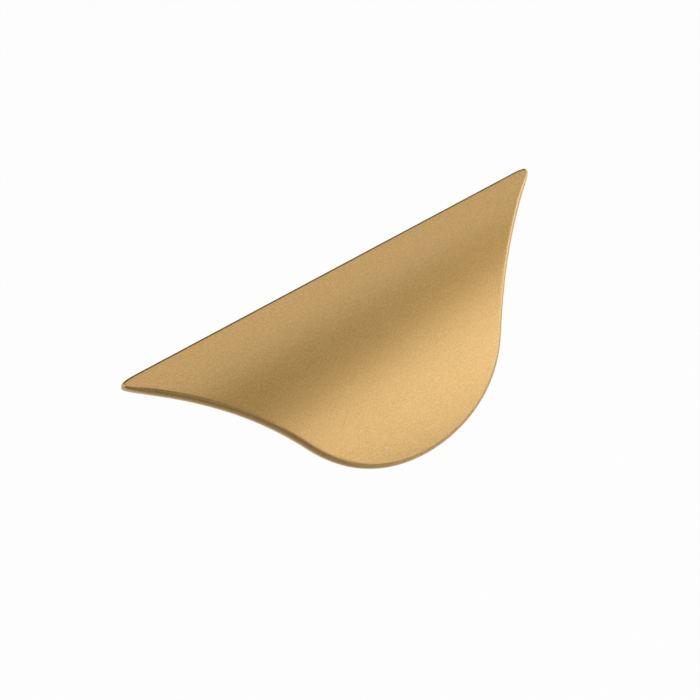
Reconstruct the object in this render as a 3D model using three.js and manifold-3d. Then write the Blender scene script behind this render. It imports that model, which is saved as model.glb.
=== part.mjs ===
// Shell pull: a finger pull for a drawer or cabinet door, cast in one piece.
// A leaf-shaped shell of even wall stands out from the door along its straight back edge and
// curls down over the fingers. Its flanks sweep in from two pointed tips to a round tongue.
// Behind it, two blind-tapped bosses reach back to the door and take the fixing screws.
//
// Millimetres, +X along the straight edge, +Y into the door, +Z up.
// The origin is the middle of the flat back edge, on the door's surface.

import * as THREE from "three";
import { mergeVertices } from "three/addons/utils/BufferGeometryUtils.js";
import Module from "manifold-3d";

// The leaf's outline, on its outer face rolled out flat: x across, s down the curve from the door.
const LENGTH = 128; // over both tips
const LEAF_DEPTH = 49.5; // from the straight edge to the end of the tongue
const EASE_RADIUS = 18; // the straight edge bends down to each tip on this arc
const EASE_ANGLE = 10.5; // degrees that it has turned where the nose of the tip starts
const TIP_RADIUS = 0.85; // of the nose
const TIP_ANGLE = 70; // degrees between the straight edge and the flank where it leaves the nose
const TIP_PULL = 2.45; // how far the flank holds its direction at the nose
const WAIST_X = 31.45; // where the hollow of the flank turns into the round of the tongue
const WAIST_S = 33.5;
const WAIST_ANGLE = 56.5; // degrees between the straight edge and the outline at the waist
const FLANK_PULL = 25; // how far the hollow flank holds the waist's direction
const SHOULDER_PULL = 16.6; // how far the round shoulder holds it
const TONGUE_PULL = 7.8; // how far the tongue's end stays level

// The curl of the shell, a circular arc that leaves the door downwards.
const START_SLOPE = 31; // degrees below horizontal at the door
const BEND_RADIUS = 90.5; // of the outer face

// The wall and its edges.
const WALL = 2;
const FRONT_ROUND = 1.2; // outer edge of the flanks and tongue
const BACK_ROUND = 0.4; // inner edge all round
const TOP_ROUND = 0.6; // outer edge along the door and round the tips
const ROUND_GROWTH = 8; // the length of flank that takes the outer edge from TOP_ROUND to FRONT_ROUND
const ROUND_LIMIT = 0.9; // the most of a wall or a nose that a rounded edge takes up

// The screw bosses.
const HOLE_SPACING = 64;
const HOLE_DROP = 8; // from the middle of the back edge down to the holes
const BOSS_DIAMETER = 8;
const BOSS_FILLET = 1; // where a boss meets the inside of the shell
const TAP_DRILL = 3.3; // core hole of an M4 thread
const HOLE_DEPTH = 8; // to the end of the full diameter
const DRILL_POINT = 118; // degrees, the drill's included angle
const HOLE_CHAMFER = 0.4;

// Facets along each stretch.
const EASE_STEPS = 3;
const TIP_STEPS = 8;
const FLANK_STEPS = 32;
const TONGUE_STEPS = 28;
const FRONT_ROUND_STEPS = 4;
const BACK_ROUND_STEPS = 2;
const BOSS_SIDES = 48;
const HOLE_SIDES = 24;
const FILLET_STEPS = 4;
const BEND_SIDES = 180;

const WELD_DISTANCE = 1e-5; // points closer than this are one

const startSlope = THREE.MathUtils.degToRad(START_SLOPE);
const bossRadius = BOSS_DIAMETER / 2;

// The rounded edges stay inside the wall and the nose that they round.
const frontRound = Math.min(FRONT_ROUND, ROUND_LIMIT * (WALL - BACK_ROUND));
const tipRound = Math.min(TOP_ROUND, ROUND_LIMIT * TIP_RADIUS);

// The wall meets the door at a slant, which makes the flat back edge taller than the wall is thick.
const backEdgeHeight = WALL / Math.cos(startSlope);

// The axis that the shell is bent about runs along X through this point.
const bendAxisY = BEND_RADIUS * Math.sin(startSlope);
const bendAxisZ = backEdgeHeight / 2 - BEND_RADIUS * Math.cos(startSlope);

const wasm = await Module();
wasm.setup();

function solid(geometry) {
  geometry.deleteAttribute("normal");
  geometry.deleteAttribute("uv");
  const merged = mergeVertices(geometry, WELD_DISTANCE);
  return new wasm.Manifold(new wasm.Mesh({
    numProp: 3,
    vertProperties: new Float32Array(merged.getAttribute("position").array),
    triVerts: new Uint32Array(merged.getIndex().array),
  }));
}

function meshFrom(manifold, name, material) {
  const { vertProperties, triVerts } = manifold.getMesh();
  const geometry = new THREE.BufferGeometry();
  geometry.setAttribute("position", new THREE.BufferAttribute(vertProperties, 3));
  geometry.setIndex(new THREE.BufferAttribute(triVerts, 1));
  geometry.computeVertexNormals();
  const mesh = new THREE.Mesh(geometry, material);
  mesh.name = name;
  return mesh;
}

function indexedGeometry(points, triangles) {
  const geometry = new THREE.BufferGeometry().setFromPoints(points);
  geometry.setIndex(triangles);
  return geometry;
}

// Two triangles for each cell between loop number `from` and loop number `to` of `count` points.
function stitchLoops(triangles, from, to, count) {
  for (let i = 0; i < count; i += 1) {
    const next = (i + 1) % count;
    const [a, b] = [from * count + i, from * count + next];
    const [c, d] = [to * count + next, to * count + i];
    triangles.push(a, b, c, a, c, d);
  }
}

// Bends a point of the flat pattern: x across, s down the curve, depth below the outer face.
function bent(x, s, depth) {
  const slope = startSlope + s / BEND_RADIUS;
  const radius = BEND_RADIUS - depth;
  return new THREE.Vector3(x, bendAxisY - radius * Math.sin(slope), bendAxisZ + radius * Math.cos(slope));
}

// Stations along an arc of the outline. Each holds its point, its outward normal and the radius of
// the outer edge there.
function arcStations(centre, radius, from, to, steps) {
  const stations = [];
  for (let i = 0; i <= steps; i += 1) {
    const turn = THREE.MathUtils.lerp(from, to, i / steps);
    const normal = new THREE.Vector2(Math.cos(turn), Math.sin(turn));
    stations.push({ point: centre.clone().addScaledVector(normal, radius), normal, round: tipRound });
  }
  return stations;
}

// Stations along a curve of the outline, without its first point. `roundAt` gives the radius of the
// outer edge at a length along it.
function curveStations(curve, steps, roundAt) {
  const lengths = curve.getLengths(steps);
  const stations = [];
  for (let i = 1; i <= steps; i += 1) {
    const tangent = curve.getTangent(i / steps);
    stations.push({
      point: curve.getPoint(i / steps),
      normal: new THREE.Vector2(tangent.y, -tangent.x),
      round: roundAt(lengths[i]),
    });
  }
  return stations;
}

// The outline's right half in the flat pattern, from the straight edge's end round to the tongue's end.
function halfOutline() {
  const easeAngle = THREE.MathUtils.degToRad(EASE_ANGLE);
  const tipAngle = THREE.MathUtils.degToRad(TIP_ANGLE);
  const waistAngle = THREE.MathUtils.degToRad(WAIST_ANGLE);

  const noseX = LENGTH / 2 - TIP_RADIUS;
  const easeToNose = EASE_RADIUS - TIP_RADIUS;
  const easeCentre = new THREE.Vector2(noseX - easeToNose * Math.sin(easeAngle), EASE_RADIUS);
  const noseCentre = new THREE.Vector2(noseX, EASE_RADIUS - easeToNose * Math.cos(easeAngle));
  const straight = -Math.PI / 2;
  const ease = arcStations(easeCentre, EASE_RADIUS, straight, straight + easeAngle, EASE_STEPS);
  const nose = arcStations(noseCentre, TIP_RADIUS, straight + easeAngle, Math.PI / 2 - tipAngle, TIP_STEPS);

  const alongFlank = new THREE.Vector2(-Math.cos(tipAngle), Math.sin(tipAngle));
  const alongWaist = new THREE.Vector2(-Math.cos(waistAngle), Math.sin(waistAngle));
  const flankStart = nose[TIP_STEPS].point;
  const waist = new THREE.Vector2(WAIST_X, WAIST_S);
  const flank = new THREE.CubicBezierCurve(
    flankStart,
    flankStart.clone().addScaledVector(alongFlank, TIP_PULL),
    waist.clone().addScaledVector(alongWaist, -FLANK_PULL),
    waist,
  );
  const tongue = new THREE.CubicBezierCurve(
    waist,
    waist.clone().addScaledVector(alongWaist, SHOULDER_PULL),
    new THREE.Vector2(TONGUE_PULL, LEAF_DEPTH),
    new THREE.Vector2(0, LEAF_DEPTH),
  );
  const growing = (length) => {
    const share = THREE.MathUtils.smoothstep(length, 0, ROUND_GROWTH);
    return THREE.MathUtils.lerp(tipRound, frontRound, share);
  };
  return [
    ...ease.slice(0, -1),
    ...nose,
    ...curveStations(flank, FLANK_STEPS, growing),
    ...curveStations(tongue, TONGUE_STEPS, () => frontRound),
  ];
}

// One closed loop round the leaf: the outline moved in by `inset` and down by `depth`, then bent.
// Both are functions of the outer edge's radius at the station.
function leafLoop(half, inset, depth) {
  const right = half.map(({ point, normal, round }) => {
    const moved = point.clone().addScaledVector(normal, -inset(round));
    return bent(moved.x, moved.y, depth(round));
  });
  const left = right.slice(0, -1).reverse().map(({ x, y, z }) => new THREE.Vector3(-x, y, z));
  return [...right, ...left];
}

// The leaf as a closed solid: an outer face, a rounded rim and an inner face. Stations with the
// same s on both sides are joined by straight rungs, which lie in the bent faces.
function leafSolid() {
  const half = halfOutline();
  const loops = [];
  for (let i = 0; i <= FRONT_ROUND_STEPS; i += 1) {
    const angle = (i / FRONT_ROUND_STEPS) * (Math.PI / 2);
    loops.push(leafLoop(half, (r) => r * (1 - Math.sin(angle)), (r) => r * (1 - Math.cos(angle))));
  }
  for (let i = 0; i <= BACK_ROUND_STEPS; i += 1) {
    const angle = (i / BACK_ROUND_STEPS) * (Math.PI / 2);
    const inset = BACK_ROUND * (1 - Math.cos(angle));
    const depth = WALL - BACK_ROUND * (1 - Math.sin(angle));
    loops.push(leafLoop(half, () => inset, () => depth));
  }

  const count = loops[0].length;
  const triangles = [];
  for (let i = 0; i < loops.length - 1; i += 1) {
    stitchLoops(triangles, i, i + 1, count);
  }
  const last = half.length - 1;
  const innerStart = (loops.length - 1) * count;
  const mirrored = (station) => count - 1 - station;
  for (let i = 0; i < last; i += 1) {
    const rungs = [[i, i + 1, mirrored(i)]];
    if (i + 1 < last) {
      rungs.push([i + 1, mirrored(i + 1), mirrored(i)]);
    }
    for (const [a, b, c] of rungs) {
      triangles.push(a, c, b);
      triangles.push(innerStart + a, innerStart + b, innerStart + c);
    }
  }
  return solid(indexedGeometry(loops.flat(), triangles));
}

// Everything on the door's side of the bent surface that lies `depth` below the outer face.
function insideOfBend(depth) {
  const geometry = new THREE.CylinderGeometry(
    BEND_RADIUS - depth, BEND_RADIUS - depth, LENGTH, BEND_SIDES,
  );
  geometry.rotateZ(Math.PI / 2);
  geometry.translate(0, bendAxisY, bendAxisZ);
  return solid(geometry);
}

function behindDoorPlane() {
  const reach = 2 * BEND_RADIUS;
  const geometry = new THREE.BoxGeometry(LENGTH + 2 * WALL, reach, reach);
  geometry.translate(0, reach / 2, 0);
  return solid(geometry);
}

// Where the bent surface `depth` below the outer face passes over a given height.
function bendY(z, depth) {
  return bendAxisY - Math.sqrt((BEND_RADIUS - depth) ** 2 - (z - bendAxisZ) ** 2);
}

// A rolling-ball fillet round the foot of a boss. At each angle about the boss, a ball touches
// both the boss and the inside of the shell. Its arc between them closes inside the metal.
function bossFillet(x, z) {
  const loops = [];
  const buriedDepth = WALL / 2;
  const buriedRadius = bossRadius - BOSS_FILLET / 2;
  for (let i = 0; i < BOSS_SIDES; i += 1) {
    const turn = (i / BOSS_SIDES) * 2 * Math.PI;
    const outward = new THREE.Vector3(Math.sin(turn), 0, Math.cos(turn));
    const axisPoint = new THREE.Vector3(x, 0, z);
    const ball = axisPoint.clone().addScaledVector(outward, bossRadius + BOSS_FILLET);
    ball.y = bendY(ball.z, WALL + BOSS_FILLET);
    const toBoss = outward.clone().negate();
    const toShell = new THREE.Vector3(0, ball.y - bendAxisY, ball.z - bendAxisZ).normalize();
    const opening = toBoss.angleTo(toShell);
    const section = [];
    for (let k = 0; k <= FILLET_STEPS; k += 1) {
      const angle = (k / FILLET_STEPS) * opening;
      const direction = toBoss.clone().multiplyScalar(Math.sin(opening - angle))
        .addScaledVector(toShell, Math.sin(angle))
        .divideScalar(Math.sin(opening));
      section.push(ball.clone().addScaledVector(direction, BOSS_FILLET));
    }
    const inWall = ball.clone().addScaledVector(toShell, BOSS_FILLET + buriedDepth);
    const underBoss = axisPoint.clone().addScaledVector(outward, buriedRadius);
    underBoss.y = bendY(underBoss.z, buriedDepth);
    const inBoss = underBoss.clone();
    inBoss.y = ball.y;
    loops.push([...section, inWall, underBoss, inBoss]);
  }
  const count = loops[0].length;
  const triangles = [];
  for (let i = 0; i < BOSS_SIDES; i += 1) {
    stitchLoops(triangles, i, (i + 1) % BOSS_SIDES, count);
  }
  return solid(indexedGeometry(loops.flat(), triangles));
}

function bossSolid(x, z) {
  const reach = BEND_RADIUS;
  const geometry = new THREE.CylinderGeometry(bossRadius, bossRadius, reach, BOSS_SIDES);
  geometry.translate(x, -reach / 2, z);
  return solid(geometry).intersect(insideOfBend(WALL / 2)).add(bossFillet(x, z));
}

// The drilled and chamfered hole, with its drill point.
function holeSolid(x, z) {
  const radius = TAP_DRILL / 2;
  const pointLength = radius / Math.tan(THREE.MathUtils.degToRad(DRILL_POINT / 2));
  const overshoot = 1;
  const profile = [
    [0, -HOLE_DEPTH - pointLength],
    [radius, -HOLE_DEPTH],
    [radius, -HOLE_CHAMFER],
    [radius + HOLE_CHAMFER + overshoot, overshoot],
    [0, overshoot],
  ].map(([r, y]) => new THREE.Vector2(r, y));
  const geometry = new THREE.LatheGeometry(profile, HOLE_SIDES);
  geometry.translate(x, 0, z);
  return solid(geometry);
}

function shellPull() {
  let body = leafSolid();
  const holes = [];
  for (const side of [-1, 1]) {
    const x = (side * HOLE_SPACING) / 2;
    body = body.add(bossSolid(x, -HOLE_DROP));
    holes.push(holeSolid(x, -HOLE_DROP));
  }
  body = body.subtract(behindDoorPlane());
  for (const hole of holes) {
    body = body.subtract(hole);
  }
  return body;
}

const satinGold = new THREE.MeshStandardMaterial({ color: 0xc79d62, roughness: 0.45, metalness: 0.8 });

const group = new THREE.Group();
group.add(meshFrom(shellPull(), "shell_pull", satinGold));

export default group;
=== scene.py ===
"""A shell pull for a drawer or cabinet door, cast in one piece with a satin gold coat.

The leaf-shaped shell is built again on a finer mesh than the frame's solid, from the same
sizes, with rolled edges, filleted bosses and threaded holes. Metres, +X along the straight
edge, +Y into the door, +Z up, origin at the middle of the flat back edge.
"""

import math

import bpy
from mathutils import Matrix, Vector


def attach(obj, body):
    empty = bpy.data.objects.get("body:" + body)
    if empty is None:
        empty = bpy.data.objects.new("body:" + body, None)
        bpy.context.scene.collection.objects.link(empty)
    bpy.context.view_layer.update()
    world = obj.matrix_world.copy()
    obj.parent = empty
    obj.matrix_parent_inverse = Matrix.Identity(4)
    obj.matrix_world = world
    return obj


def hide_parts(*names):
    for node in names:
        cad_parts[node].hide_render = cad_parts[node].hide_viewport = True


MM = 0.001

# The leaf's outline, on its outer face rolled out flat: x across, s down the curve from the door.
LENGTH = 128 * MM
LEAF_DEPTH = 49.5 * MM
EASE_RADIUS = 18 * MM
EASE_ANGLE = math.radians(10.5)
TIP_RADIUS = 0.85 * MM
TIP_ANGLE = math.radians(70)
TIP_PULL = 2.45 * MM
WAIST_X = 31.45 * MM
WAIST_S = 33.5 * MM
WAIST_ANGLE = math.radians(56.5)
FLANK_PULL = 25 * MM
SHOULDER_PULL = 16.6 * MM
TONGUE_PULL = 7.8 * MM

# The curl of the shell, its wall and its edges.
START_SLOPE = math.radians(31)
BEND_RADIUS = 90.5 * MM
WALL = 2 * MM
FRONT_ROUND = 1.2 * MM
BACK_ROUND = 0.4 * MM
TOP_ROUND = 0.6 * MM
ROUND_GROWTH = 8 * MM

# The screw bosses and their M4 threads.
HOLE_SPACING = 64 * MM
HOLE_DROP = 8 * MM
BOSS_RADIUS = 4 * MM
BOSS_FILLET = 1 * MM
CORE_RADIUS = 1.65 * MM
THREAD_RADIUS = 2 * MM
THREAD_PITCH = 0.7 * MM
THREAD_DEPTH = 6.5 * MM
HOLE_DEPTH = 8 * MM
DRILL_HALF_ANGLE = math.radians(59)
HOLE_CHAMFER = 0.4 * MM

# Mesh density.
EASE_STEPS = 6
TIP_STEPS = 20
FLANK_STEPS = 72
TONGUE_STEPS = 60
ACROSS_STEPS = 72
FRONT_ROUND_STEPS = 8
BACK_ROUND_STEPS = 4
BOSS_SIDES = 96
FILLET_STEPS = 8
HOLE_SIDES = 48
THREAD_STEPS = 10
BEND_SIDES = 720
SHARP_ANGLE = math.radians(32)

# The photograph's view: from the left, above, with a long lens.
CAMERA_LEFT = math.radians(43)
CAMERA_ABOVE = math.radians(37.2)
CAMERA_DISTANCE = 513.5 * MM
CAMERA_AIM = Vector((-5.74, -10.8, -14.39)) * MM
SENSOR = 36
LENS = 113.1

# The studio. Each softbox: azimuth and elevation, width and height in degrees, brightness.
LAMP_DISTANCE = 1.2
SOFTBOXES = (
    ("key", 70, 16.5, 80, 38, 1.85),
    ("top", 14, 68, 80, 30, 1.02),
    ("front", 8, 14, 38, 34, 0.42),
    ("left", -82, 30, 50, 50, 1.6),
    ("back", -150, 30, 60, 50, 0.9),
)
WORLD_BRIGHTNESS = 0.155

# The floor is white. In front of the pull, towards the left, it fades to grey: a patch of painted
# shade, placed for the rims of the pull to mirror as dark edges.
FLOOR_HEIGHT = -0.5
FLOOR_RADIUS = 2.6
FLOOR_SIDES = 128
FLOOR_GREY = (0.7, 0.7, 0.7, 1)
FLOOR_ROUGHNESS = 0.9
FLOOR_WHITENESS = 0.97
PAINTED_SHADE_CENTRE = (-0.42, -0.82, FLOOR_HEIGHT)
PAINTED_SHADE_UP_TO = 0.64
WHITE_FROM = 1.06

# The sprayed coat. Each noise scale counts the specks in a metre.
PALE_GOLD = (0.575, 0.349, 0.107, 1)
DEEP_GOLD = (0.462, 0.279, 0.081, 1)
TINT_SCALE = 2800
DEEP_UP_TO = 0.36
PALE_FROM = 0.64
SHEEN_SCALE = 700
LEAST_ROUGH = 0.31
MOST_ROUGH = 0.37
GRAIN_SCALE = 3000
GRAIN_STRENGTH = 0.45
GRAIN_HEIGHT = 0.03 * MM
LACQUER_ROUGHNESS = 0.22

# The back edge meets the door at a slant, so it is taller than the wall is thick.
BACK_EDGE_HEIGHT = WALL / math.cos(START_SLOPE)
BEND_AXIS_Y = BEND_RADIUS * math.sin(START_SLOPE)
BEND_AXIS_Z = BACK_EDGE_HEIGHT / 2 - BEND_RADIUS * math.cos(START_SLOPE)


def lerp(a, b, share):
    return a + (b - a) * share


def smooth(share):
    return share * share * (3 - 2 * share)


def mesh_object(name, points, faces):
    mesh = bpy.data.meshes.new(name)
    mesh.from_pydata([tuple(p) for p in points], [], faces)
    mesh.validate()
    obj = bpy.data.objects.new(name, mesh)
    bpy.context.scene.collection.objects.link(obj)
    return obj


def stitched_faces(loop_from, loop_to, count):
    """Quads between two closed loops of count points, each given by its number."""
    near, far = loop_from * count, loop_to * count
    faces = []
    for i in range(count):
        j = (i + 1) % count
        faces.append((near + i, near + j, far + j, far + i))
    return faces


def combine(target, tool, operation):
    """Joins tool to target or cuts it away, and removes the tool."""
    modifier = target.modifiers.new("combine", "BOOLEAN")
    modifier.operation = operation
    modifier.solver = "MANIFOLD"
    modifier.object = tool
    apply_modifiers(target)
    bpy.data.objects.remove(tool)


def apply_modifiers(obj):
    graph = bpy.context.evaluated_depsgraph_get()
    mesh = bpy.data.meshes.new_from_object(obj.evaluated_get(graph))
    obj.modifiers.clear()
    obj.data = mesh


# The flat pattern and its bend.


def bent(x, s, depth):
    """A point of the flat pattern, bent: x across, s down the curve, depth below the outer face."""
    slope = START_SLOPE + s / BEND_RADIUS
    radius = BEND_RADIUS - depth
    return Vector((x, BEND_AXIS_Y - radius * math.sin(slope), BEND_AXIS_Z + radius * math.cos(slope)))


def bend_y(z, depth):
    """Where the bent surface depth below the outer face passes over a height."""
    return BEND_AXIS_Y - math.sqrt((BEND_RADIUS - depth) ** 2 - (z - BEND_AXIS_Z) ** 2)


def bezier(p0, p1, p2, p3, share):
    """Point and unit tangent on a cubic Bezier curve."""
    a, b, c = p0.lerp(p1, share), p1.lerp(p2, share), p2.lerp(p3, share)
    d, e = a.lerp(b, share), b.lerp(c, share)
    return d.lerp(e, share), (e - d).normalized()


def arc_stations(centre, radius, turn_from, turn_to, steps):
    """Stations on an arc of the outline, which has the straight edge's rounding."""
    stations = []
    for i in range(steps + 1):
        turn = lerp(turn_from, turn_to, i / steps)
        normal = Vector((math.cos(turn), math.sin(turn)))
        stations.append((centre + normal * radius, normal, TOP_ROUND))
    return stations


def curve_stations(curve, steps, edge_at):
    """Stations on a curve of the outline, without its first point. edge_at gives the outer
    edge's radius at a length along the curve."""
    stations = []
    length = 0
    before = curve[0]
    for i in range(1, steps + 1):
        point, tangent = bezier(*curve, i / steps)
        length += (point - before).length
        before = point
        stations.append((point, Vector((tangent.y, -tangent.x)), edge_at(length)))
    return stations


def growing_edge(length):
    """The outer edge's radius at a length along the flank from the nose."""
    return lerp(TOP_ROUND, FRONT_ROUND, smooth(min(1, length / ROUND_GROWTH)))


def full_edge(length):
    """The outer edge's radius round the tongue, the same at every length."""
    return FRONT_ROUND


def half_outline():
    """The right half of the outline, from the straight edge's end round to the tongue's end.
    Each station is a point, its outward normal and the outer edge's radius there."""
    nose_x = LENGTH / 2 - TIP_RADIUS
    ease_to_nose = EASE_RADIUS - TIP_RADIUS
    ease_centre = Vector((nose_x - ease_to_nose * math.sin(EASE_ANGLE), EASE_RADIUS))
    nose_centre = Vector((nose_x, EASE_RADIUS - ease_to_nose * math.cos(EASE_ANGLE)))
    nose_from = -math.pi / 2 + EASE_ANGLE
    ease = arc_stations(ease_centre, EASE_RADIUS, -math.pi / 2, nose_from, EASE_STEPS)
    nose = arc_stations(nose_centre, TIP_RADIUS, nose_from, math.pi / 2 - TIP_ANGLE, TIP_STEPS)

    along_flank = Vector((-math.cos(TIP_ANGLE), math.sin(TIP_ANGLE)))
    along_waist = Vector((-math.cos(WAIST_ANGLE), math.sin(WAIST_ANGLE)))
    start = nose[-1][0]
    waist = Vector((WAIST_X, WAIST_S))
    end = Vector((0, LEAF_DEPTH))
    flank = (start, start + along_flank * TIP_PULL, waist - along_waist * FLANK_PULL, waist)
    tongue = (waist, waist + along_waist * SHOULDER_PULL, end + Vector((TONGUE_PULL, 0)), end)
    return [
        *ease[:-1],
        *nose,
        *curve_stations(flank, FLANK_STEPS, growing_edge),
        *curve_stations(tongue, TONGUE_STEPS, full_edge),
    ]


def leaf_loop(half, inset, depth):
    """One closed loop round the leaf: the right half, the left half, then along the straight edge.
    inset and depth are functions of the edge radius."""
    right = []
    for point, normal, edge in half:
        moved = point - normal * inset(edge)
        right.append(bent(moved.x, moved.y, depth(edge)))
    left = [Vector((-p.x, p.y, p.z)) for p in reversed(right[:-1])]
    straight = [left[-1].lerp(right[0], j / ACROSS_STEPS) for j in range(1, ACROSS_STEPS)]
    return right + left + straight


def leaf_loops(half):
    """The loops of the rim, over the outer edge's rounding and then over the inner edge's."""
    loops = []
    for i in range(FRONT_ROUND_STEPS + 1):
        angle = i / FRONT_ROUND_STEPS * math.pi / 2
        inward = 1 - math.sin(angle)
        down = 1 - math.cos(angle)
        loops.append(leaf_loop(half, lambda edge: edge * inward, lambda edge: edge * down))
    for i in range(BACK_ROUND_STEPS + 1):
        angle = i / BACK_ROUND_STEPS * math.pi / 2
        inset = BACK_ROUND * (1 - math.cos(angle))
        depth = WALL - BACK_ROUND * (1 - math.sin(angle))
        loops.append(leaf_loop(half, lambda edge: inset, lambda edge: depth))
    return loops


def rung_faces(points, loop_start, count, last):
    """Cells of a bent face, on straight rungs between mirrored stations. Adds the inner points."""
    straight = range(loop_start + count - 1, loop_start + 2 * last, -1)
    rungs = [[loop_start, *straight, loop_start + 2 * last]]
    for i in range(1, last):
        right, left = loop_start + i, loop_start + 2 * last - i
        rung = [right]
        for j in range(1, ACROSS_STEPS):
            rung.append(len(points))
            points.append(points[right].lerp(points[left], j / ACROSS_STEPS))
        rung.append(left)
        rungs.append(rung)
    rungs.append([loop_start + last] * (ACROSS_STEPS + 1))
    faces = []
    for upper, lower in zip(rungs, rungs[1:]):
        for j in range(ACROSS_STEPS):
            cell = (upper[j], upper[j + 1], lower[j + 1], lower[j])
            faces.append(cell if cell[2] != cell[3] else cell[:3])
    return faces


def leaf():
    half = half_outline()
    loops = leaf_loops(half)
    count = len(loops[0])
    last = len(half) - 1
    points = [p for loop in loops for p in loop]
    faces = []
    for i in range(len(loops) - 1):
        faces += stitched_faces(i, i + 1, count)
    faces += rung_faces(points, 0, count, last)
    faces += [tuple(reversed(f)) for f in rung_faces(points, (len(loops) - 1) * count, count, last)]
    return mesh_object("shell_pull_satin", points, faces)


# Solids that are joined to the leaf or cut from it.


def prism(name, ring, direction):
    """A closed prism: a ring of points and the same ring moved along direction."""
    count = len(ring)
    points = list(ring) + [p + direction for p in ring]
    faces = stitched_faces(0, 1, count)
    faces += [tuple(range(count))[::-1], tuple(range(count, 2 * count))]
    return mesh_object(name, points, faces)


def circle(centre, radius, side_a, side_b, sides):
    points = []
    for i in range(sides):
        turn = 2 * math.pi * i / sides
        points.append(centre + side_a * radius * math.cos(turn) + side_b * radius * math.sin(turn))
    return points


def inside_of_bend(depth):
    """Everything on the door's side of the bent surface depth below the outer face."""
    centre = Vector((-LENGTH / 2, BEND_AXIS_Y, BEND_AXIS_Z))
    ring = circle(centre, BEND_RADIUS - depth, Vector((0, 1, 0)), Vector((0, 0, 1)), BEND_SIDES)
    return prism("inside_of_bend", ring, Vector((LENGTH, 0, 0)))


def boss(centre):
    """A round boss from well behind the door's surface to the middle of the shell's wall."""
    ring = circle(centre, BOSS_RADIUS, Vector((0, 0, 1)), Vector((1, 0, 0)), BOSS_SIDES)
    ring = [p + Vector((0, WALL, 0)) for p in ring]
    obj = prism("boss", ring, Vector((0, -BEND_RADIUS, 0)))
    combine(obj, inside_of_bend(WALL / 2), "INTERSECT")
    return obj


def boss_fillet(centre):
    """The arc of a ball that rolls round the boss and touches the inside of the shell."""
    buried_depth = WALL / 2
    buried_radius = BOSS_RADIUS - BOSS_FILLET / 2
    points = []
    for i in range(BOSS_SIDES):
        turn = 2 * math.pi * i / BOSS_SIDES
        outward = Vector((math.sin(turn), 0, math.cos(turn)))
        ball = centre + outward * (BOSS_RADIUS + BOSS_FILLET)
        ball.y = bend_y(ball.z, WALL + BOSS_FILLET)
        to_shell = Vector((0, ball.y - BEND_AXIS_Y, ball.z - BEND_AXIS_Z)).normalized()
        for k in range(FILLET_STEPS + 1):
            points.append(ball + (-outward).slerp(to_shell, k / FILLET_STEPS) * BOSS_FILLET)
        under_boss = centre + outward * buried_radius
        under_boss.y = bend_y(under_boss.z, buried_depth)
        points.append(ball + to_shell * (BOSS_FILLET + buried_depth))
        points.append(under_boss)
        points.append(Vector((under_boss.x, ball.y, under_boss.z)))
    count = FILLET_STEPS + 4
    faces = []
    for i in range(BOSS_SIDES):
        faces += stitched_faces(i, (i + 1) % BOSS_SIDES, count)
    return mesh_object("boss_fillet", points, faces)


def thread_radius(depth, turn):
    """The hole's radius at a depth below the door's surface and an angle about its axis."""
    phase = (depth / THREAD_PITCH + turn / (2 * math.pi)) % 1
    ridge = 1 - abs(2 * phase - 1)
    runout = min(1, max(0, (THREAD_DEPTH - depth) / THREAD_PITCH))
    threaded = CORE_RADIUS + (THREAD_RADIUS - CORE_RADIUS) * ridge * runout
    mouth = CORE_RADIUS + HOLE_CHAMFER - depth
    return max(threaded, mouth)


def threaded_hole(centre):
    """The cutting solid of a blind, drilled and tapped hole."""
    steps = round(HOLE_DEPTH / THREAD_PITCH * THREAD_STEPS)
    depths = [-WALL] + [HOLE_DEPTH * i / steps for i in range(steps + 1)]
    points = []
    for depth in depths:
        for i in range(HOLE_SIDES):
            turn = 2 * math.pi * i / HOLE_SIDES
            radius = thread_radius(max(depth, 0), turn)
            points.append(centre + Vector((math.sin(turn) * radius, -depth, math.cos(turn) * radius)))
    faces = []
    for i in range(len(depths) - 1):
        faces += stitched_faces(i, i + 1, HOLE_SIDES)
    faces.append(tuple(range(HOLE_SIDES))[::-1])
    drill_end = len(points)
    points.append(centre - Vector((0, HOLE_DEPTH + CORE_RADIUS / math.tan(DRILL_HALF_ANGLE), 0)))
    ring = drill_end - HOLE_SIDES
    faces += [(ring + i, ring + (i + 1) % HOLE_SIDES, drill_end) for i in range(HOLE_SIDES)]
    return mesh_object("threaded_hole", points, faces)


def behind_door():
    """A block behind the door's surface, larger than the pull."""
    ring = [Vector((x * LENGTH, 0, z * LENGTH)) for x, z in ((-1, -1), (1, -1), (1, 1), (-1, 1))]
    return prism("behind_door", ring, Vector((0, LENGTH, 0)))


def outward_faces(obj):
    """Turns the faces of a closed mesh outwards."""
    mesh = obj.data
    volume = 0
    for polygon in mesh.polygons:
        corners = [mesh.vertices[v].co for v in polygon.vertices]
        for b, c in zip(corners[1:], corners[2:]):
            volume += corners[0].dot(b.cross(c))
    if volume < 0:
        mesh.flip_normals()
    return obj


def shell_pull():
    body = outward_faces(leaf())
    centres = [Vector((side * HOLE_SPACING / 2, 0, -HOLE_DROP)) for side in (-1, 1)]
    for centre in centres:
        combine(body, outward_faces(boss(centre)), "UNION")
        combine(body, outward_faces(boss_fillet(centre)), "UNION")
    combine(body, outward_faces(behind_door()), "DIFFERENCE")
    for centre in centres:
        combine(body, outward_faces(threaded_hole(centre)), "DIFFERENCE")
    body.data.shade_smooth()
    body.data.set_sharp_from_angle(angle=SHARP_ANGLE)
    weighted = body.modifiers.new("weighted", "WEIGHTED_NORMAL")
    weighted.keep_sharp = True
    apply_modifiers(body)
    return body


# Finish.


def noise(tree, place, scale, detail):
    node = tree.nodes.new("ShaderNodeTexNoise")
    node.inputs["Scale"].default_value = scale
    node.inputs["Detail"].default_value = detail
    tree.links.new(place, node.inputs["Vector"])
    return node.outputs["Fac"]


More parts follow.
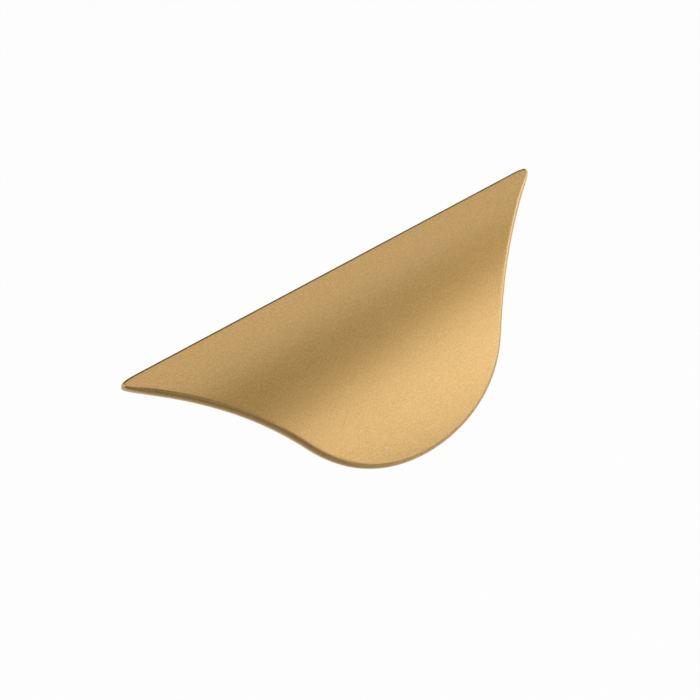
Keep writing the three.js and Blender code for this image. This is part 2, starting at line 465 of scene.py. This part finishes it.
def satin_gold():
    """A sprayed gold coat: fine grain in the surface, with a slight drift of colour and sheen."""
    material = bpy.data.materials.new("satin_gold")
    material.use_nodes = True
    tree = material.node_tree
    nodes, links = tree.nodes, tree.links
    shader = nodes["Principled BSDF"]
    shader.inputs["Metallic"].default_value = 1
    shader.inputs["Coat Weight"].default_value = 1
    shader.inputs["Coat Roughness"].default_value = LACQUER_ROUGHNESS
    place = nodes.new("ShaderNodeTexCoord").outputs["Object"]

    tint = nodes.new("ShaderNodeValToRGB")
    tint.color_ramp.elements[0].position = DEEP_UP_TO
    tint.color_ramp.elements[0].color = DEEP_GOLD
    tint.color_ramp.elements[1].position = PALE_FROM
    tint.color_ramp.elements[1].color = PALE_GOLD
    links.new(noise(tree, place, TINT_SCALE, 2), tint.inputs["Fac"])
    links.new(tint.outputs["Color"], shader.inputs["Base Color"])

    sheen = nodes.new("ShaderNodeMapRange")
    sheen.inputs["To Min"].default_value = LEAST_ROUGH
    sheen.inputs["To Max"].default_value = MOST_ROUGH
    links.new(noise(tree, place, SHEEN_SCALE, 3), sheen.inputs["Value"])
    links.new(sheen.outputs["Result"], shader.inputs["Roughness"])

    bump = nodes.new("ShaderNodeBump")
    bump.inputs["Strength"].default_value = GRAIN_STRENGTH
    bump.inputs["Distance"].default_value = GRAIN_HEIGHT
    links.new(noise(tree, place, GRAIN_SCALE, 1), bump.inputs["Height"])
    links.new(bump.outputs["Normal"], shader.inputs["Normal"])
    return material


# The studio.


def camera():
    data = bpy.data.cameras.new("camera")
    data.sensor_width = SENSOR
    data.lens = LENS
    obj = bpy.data.objects.new("camera", data)
    bpy.context.scene.collection.objects.link(obj)
    forward = Vector((
        math.sin(CAMERA_LEFT) * math.cos(CAMERA_ABOVE),
        math.cos(CAMERA_LEFT) * math.cos(CAMERA_ABOVE),
        -math.sin(CAMERA_ABOVE),
    ))
    obj.location = CAMERA_AIM - forward * CAMERA_DISTANCE
    obj.rotation_euler = forward.to_track_quat("-Z", "Y").to_euler()
    bpy.context.scene.camera = obj


def direction(azimuth, elevation):
    """Away from the pull: azimuth from the front towards the right, elevation above the horizon."""
    return Vector((
        math.sin(azimuth) * math.cos(elevation),
        -math.cos(azimuth) * math.cos(elevation),
        math.sin(elevation),
    ))


def softbox(name, azimuth, elevation, width, height, brightness):
    """A rectangular lamp that faces the pull. Brightness 1 makes its mirror image white."""
    data = bpy.data.lights.new(name, "AREA")
    data.shape = "RECTANGLE"
    data.size = 2 * LAMP_DISTANCE * math.tan(math.radians(width) / 2)
    data.size_y = 2 * LAMP_DISTANCE * math.tan(math.radians(height) / 2)
    data.energy = brightness * math.pi * data.size * data.size_y
    obj = bpy.data.objects.new(name, data)
    bpy.context.scene.collection.objects.link(obj)
    away = direction(math.radians(azimuth), math.radians(elevation))
    obj.location = CAMERA_AIM + away * LAMP_DISTANCE
    obj.rotation_euler = away.to_track_quat("Z", "Y").to_euler()


def white_share(tree):
    """The share of white at a place on the floor: none round the centre of the painted shade, nearly
    all beyond.
    """
    nodes, links = tree.nodes, tree.links
    place = nodes.new("ShaderNodeNewGeometry")
    away = nodes.new("ShaderNodeVectorMath")
    away.operation = "DISTANCE"
    away.inputs[1].default_value = PAINTED_SHADE_CENTRE
    grade = nodes.new("ShaderNodeMapRange")
    grade.interpolation_type = "SMOOTHSTEP"
    grade.inputs["From Min"].default_value = PAINTED_SHADE_UP_TO
    grade.inputs["From Max"].default_value = WHITE_FROM
    grade.inputs["To Max"].default_value = FLOOR_WHITENESS
    links.new(place.outputs["Position"], away.inputs[0])
    links.new(away.outputs["Value"], grade.inputs["Value"])
    return grade.outputs["Result"]


def combined(tree, operation, a, b):
    """The result of a mathematical operation on two outputs of a node tree."""
    node = tree.nodes.new("ShaderNodeMath")
    node.operation = operation
    tree.links.new(a, node.inputs[0])
    tree.links.new(b, node.inputs[1])
    return node.outputs[0]


def white_where_seen(tree, surface, share):
    """Mixes plain white into a surface where the camera sees it, directly or in metal or glass."""
    nodes, links = tree.nodes, tree.links
    rays = nodes.new("ShaderNodeLightPath").outputs
    mirrored = combined(tree, "MAXIMUM", rays["Is Glossy Ray"], rays["Is Transmission Ray"])
    seen = combined(tree, "MAXIMUM", rays["Is Camera Ray"], mirrored)
    white = nodes.new("ShaderNodeEmission")
    white.inputs["Color"].default_value = (1, 1, 1, 1)
    white.inputs["Strength"].default_value = 1
    mix = nodes.new("ShaderNodeMixShader")
    links.new(combined(tree, "MULTIPLY", seen, share), mix.inputs["Fac"])
    links.new(surface.outputs[0], mix.inputs[1])
    links.new(white.outputs[0], mix.inputs[2])
    return mix


def studio_floor():
    """A pale floor well below the pull, which hangs at door height. It keeps the pull's shadow."""
    centre = Vector((0, 0, FLOOR_HEIGHT))
    ring = circle(centre, FLOOR_RADIUS, Vector((1, 0, 0)), Vector((0, 1, 0)), FLOOR_SIDES)
    obj = mesh_object("studio_floor", ring, [tuple(range(FLOOR_SIDES))])
    material = bpy.data.materials.new("studio_floor")
    material.use_nodes = True
    tree = material.node_tree
    matt = tree.nodes["Principled BSDF"]
    matt.inputs["Base Color"].default_value = FLOOR_GREY
    matt.inputs["Roughness"].default_value = FLOOR_ROUGHNESS
    # The white fades out round a grey patch of painted shade in front of the pull.
    mix = white_where_seen(tree, matt, white_share(tree))
    tree.links.new(mix.outputs[0], tree.nodes["Material Output"].inputs["Surface"])
    obj.data.materials.append(material)


def studio():
    world = bpy.data.worlds.new("studio")
    bpy.context.scene.world = world
    world.use_nodes = True
    dim = world.node_tree.nodes["Background"]
    dim.inputs["Color"].default_value = (1, 1, 1, 1)
    dim.inputs["Strength"].default_value = WORLD_BRIGHTNESS
    for name, *place, brightness in SOFTBOXES:
        softbox(name, *place, brightness)
    studio_floor()


bpy.context.scene.view_settings.view_transform = "Standard"
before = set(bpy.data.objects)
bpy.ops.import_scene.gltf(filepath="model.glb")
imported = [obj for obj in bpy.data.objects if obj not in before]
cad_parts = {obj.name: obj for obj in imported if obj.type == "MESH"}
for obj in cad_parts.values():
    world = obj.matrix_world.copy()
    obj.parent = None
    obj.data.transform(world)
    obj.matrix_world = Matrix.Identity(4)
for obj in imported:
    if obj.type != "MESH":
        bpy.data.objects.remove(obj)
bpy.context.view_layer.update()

camera()
studio()

pull = shell_pull()
pull.data.materials.clear()
pull.data.materials.append(satin_gold())
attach(pull, "root")
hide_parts("shell_pull")
